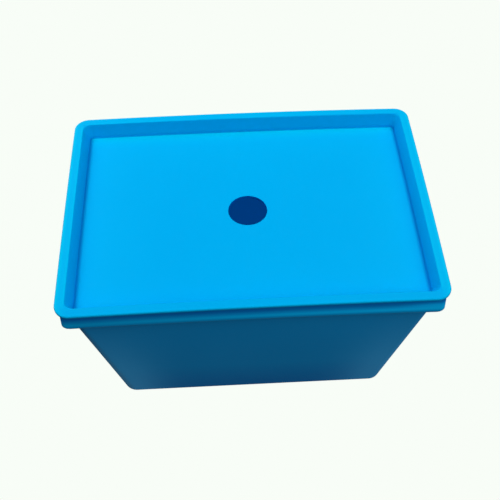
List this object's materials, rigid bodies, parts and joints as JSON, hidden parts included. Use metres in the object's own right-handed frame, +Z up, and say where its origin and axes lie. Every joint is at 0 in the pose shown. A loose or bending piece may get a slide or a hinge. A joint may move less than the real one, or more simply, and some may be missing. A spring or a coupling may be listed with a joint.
{
  "type": "silicone soap mould",
  "caption": "Deep rectangular silicone soap mould with drafted walls, a thick band round its mouth and a plug-in lid with a recessed panel and a central pouring hole.",
  "frame": {"origin": "middle of the base, on the table", "axes": "+X along the length, +Y across the width towards the back, +Z up out of the mouth"},
  "size_m": [0.26, 0.186, 0.15],
  "materials": {
    "tub_silicone": "satin saturated blue silicone, soft to the touch",
    "lid_silicone": "satin saturated blue silicone, soft to the touch"
  },
  "bodies": {
    "mould": {"mould_body": "tub_silicone"},
    "lid": {"lid": "lid_silicone"}
  },
  "joints": [
    {"name": "lid_lift", "type": "slide", "parent": "mould", "child": "lid", "axis": [0, 0, 1], "range_m": [0, 0.1]}
  ]
}
